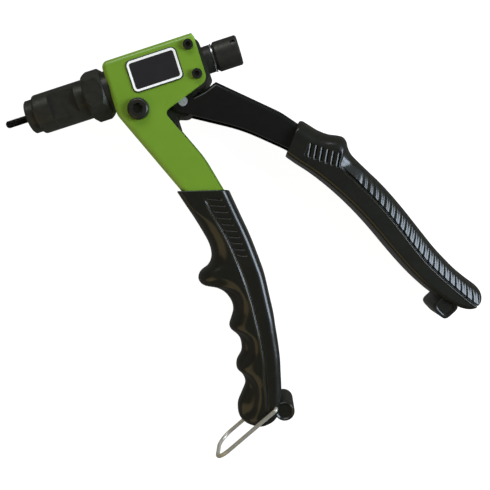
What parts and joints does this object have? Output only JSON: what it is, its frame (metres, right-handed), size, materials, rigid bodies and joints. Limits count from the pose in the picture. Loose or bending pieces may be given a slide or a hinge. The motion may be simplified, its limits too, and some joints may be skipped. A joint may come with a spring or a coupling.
{
  "type": "hand riveter",
  "caption": "Two-handle hand tool that sets threaded rivet nuts by drawing a screwed mandrel back through its nose.",
  "frame": {"origin": "centre of the nose piece's front face, where the mandrel comes out, on the draw axis", "axes": "+X along the draw axis from the nose to the rear knob, +Y away from the handles, +Z across the tool's thickness, out of the side with the label plate and the bolt head"},
  "size_m": [0.2159, 0.2195, 0.0322],
  "materials": {
    "green_paint": "gloss green enamel on pressed steel",
    "black_lever": "semi-gloss black enamel on pressed steel",
    "black_steel": "black oxide on turned steel, satin",
    "black_fastener": "black oxide",
    "bright_steel": "ground",
    "mandrel_steel": "hardened, dark",
    "spring_steel": "drawn wire",
    "bail_steel": "drawn zinc-plated wire",
    "grip_plastic": "moulded soft plastic, satin",
    "label_plate": "printed plate, dark field with a pale border"
  },
  "bodies": {
    "frame": {"frame_channel": "green_paint", "head_body": "black_steel", "rear_bush": "black_steel", "return_spring": "spring_steel", "label_plate": "label_plate", "frame_bolt": "black_fastener", "frame_nut": "black_fastener", "body_screws": "black_fastener", "pivot_pin": "bright_steel", "fixed_grip": "grip_plastic"},
    "lever": {"lever_channel": "black_lever", "lever_grip": "grip_plastic"},
    "carriage": {"carriage": "bright_steel", "trunnion_pins": "bright_steel", "thrust_washer_front": "bright_steel", "thrust_balls": "bright_steel"},
    "spindle": {"spindle": "bright_steel", "thrust_washer_rear": "bright_steel", "mandrel_chuck": "black_steel", "chuck_cap": "black_steel", "mandrel": "mandrel_steel", "knob_washer": "bright_steel", "knob": "black_steel", "knob_screw": "black_fastener"},
    "nose": {"nose_sleeve": "black_steel", "nose_piece": "black_steel"},
    "lock_nut": {"lock_nut": "black_steel"},
    "bail": {"bail_wire": "bail_steel"}
  },
  "joints": [
    {"name": "lever_squeeze", "type": "hinge", "parent": "frame", "child": "lever", "pos_m": [0.0814, -0.0181, 0], "axis": [0, 0, -1], "range_deg": [0, 29.5]},
    {"name": "draw_slide", "type": "slide", "parent": "frame", "child": "carriage", "axis": [1, 0, 0], "range_m": [0, 0.00955], "stiffness_N_per_m": 600, "springref_m": -0.005, "deforming": ["return_spring"]},
    {"name": "spindle_spin", "type": "hinge", "parent": "carriage", "child": "spindle", "pos_m": [0.11, 0, 0], "axis": [1, 0, 0], "continuous": true},
    {"name": "sleeve_turn", "type": "hinge", "parent": "frame", "child": "nose", "pos_m": [0.02, 0, 0], "axis": [1, 0, 0], "continuous": true},
    {"name": "lock_nut_turn", "type": "hinge", "parent": "frame", "child": "lock_nut", "pos_m": [0.038, 0, 0], "axis": [1, 0, 0], "continuous": true},
    {"name": "bail_swing", "type": "hinge", "parent": "frame", "child": "bail", "pos_m": [0.0794, -0.1874, 0], "axis": [0, 0, 1], "range_deg": [-85, 125]}
  ],
  "couplings": [
    {"joint": "draw_slide", "follows": "lever_squeeze", "m_per_rad": 0.018511}
  ]
}
